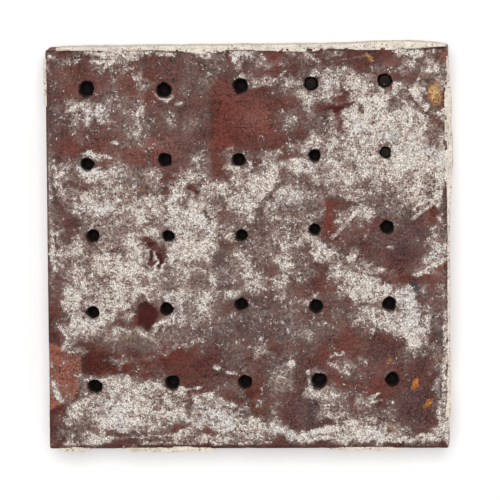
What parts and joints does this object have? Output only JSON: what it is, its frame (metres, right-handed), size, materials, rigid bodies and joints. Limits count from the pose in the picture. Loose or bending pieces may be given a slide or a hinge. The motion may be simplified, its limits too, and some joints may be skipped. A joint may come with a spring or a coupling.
{
  "type": "encaustic floor tile",
  "caption": "Square thick floor tile of layered red clay, lying face down, with blind key holes in its back, pale clay inlaid in its face and old lime mortar on back and sides.",
  "frame": {"origin": "centre of the tile's face, in the plane of the face", "axes": "+Z out of the back of the tile, which lies face down; +X and +Y along its sides, +Y to the side with the thickest mortar"},
  "size_m": [0.1541, 0.155, 0.0255],
  "materials": {
    "face_clay": "smooth unglazed red clay, worn to a low sheen",
    "coarse_clay": "coarse fired red clay with grog and small voids",
    "back_clay": "matt fired red clay, filmed and speckled with lime",
    "buff_clay": "smooth unglazed buff clay, worn to a low sheen",
    "lime_mortar": "rough sandy lime mortar"
  },
  "bodies": {
    "root": {"face_layer": "face_clay", "core_layer": "coarse_clay", "back_layer": "back_clay", "inlay_centre_disc": "buff_clay", "inlay_petal_north": "buff_clay", "inlay_petal_east": "buff_clay", "inlay_petal_south": "buff_clay", "inlay_petal_west": "buff_clay", "inlay_leaf_north_east": "buff_clay", "inlay_leaf_south_east": "buff_clay", "inlay_leaf_south_west": "buff_clay", "inlay_leaf_north_west": "buff_clay", "inlay_ring_north_east": "buff_clay", "inlay_ring_south_east": "buff_clay", "inlay_ring_south_west": "buff_clay", "inlay_ring_north_west": "buff_clay", "inlay_roundel_north_east": "buff_clay", "inlay_roundel_south_east": "buff_clay", "inlay_roundel_south_west": "buff_clay", "inlay_roundel_north_west": "buff_clay", "inlay_trefoil_north": "buff_clay", "inlay_trefoil_east": "buff_clay", "inlay_trefoil_south": "buff_clay", "inlay_trefoil_west": "buff_clay", "inlay_corner_band_north_east": "buff_clay", "inlay_corner_band_south_east": "buff_clay", "inlay_corner_band_south_west": "buff_clay", "inlay_corner_band_north_west": "buff_clay", "inlay_corner_leaf_north_east": "buff_clay", "inlay_corner_leaf_south_east": "buff_clay", "inlay_corner_leaf_south_west": "buff_clay", "inlay_corner_leaf_north_west": "buff_clay", "mortar_north_side": "lime_mortar", "mortar_east_side": "lime_mortar", "mortar_south_side_west": "lime_mortar", "mortar_south_side_middle": "lime_mortar", "mortar_south_side_east": "lime_mortar", "mortar_west_side": "lime_mortar", "mortar_crust_north_west": "lime_mortar", "mortar_crust_west_band": "lime_mortar", "mortar_crust_west": "lime_mortar", "mortar_crust_north_east": "lime_mortar", "mortar_crust_middle": "lime_mortar", "mortar_crust_south_east": "lime_mortar", "mortar_crust_south_west": "lime_mortar", "mortar_crust_south": "lime_mortar", "mortar_plug_north_east": "lime_mortar", "mortar_plug_north": "lime_mortar", "mortar_plug_east": "lime_mortar"}
  },
  "joints": []
}
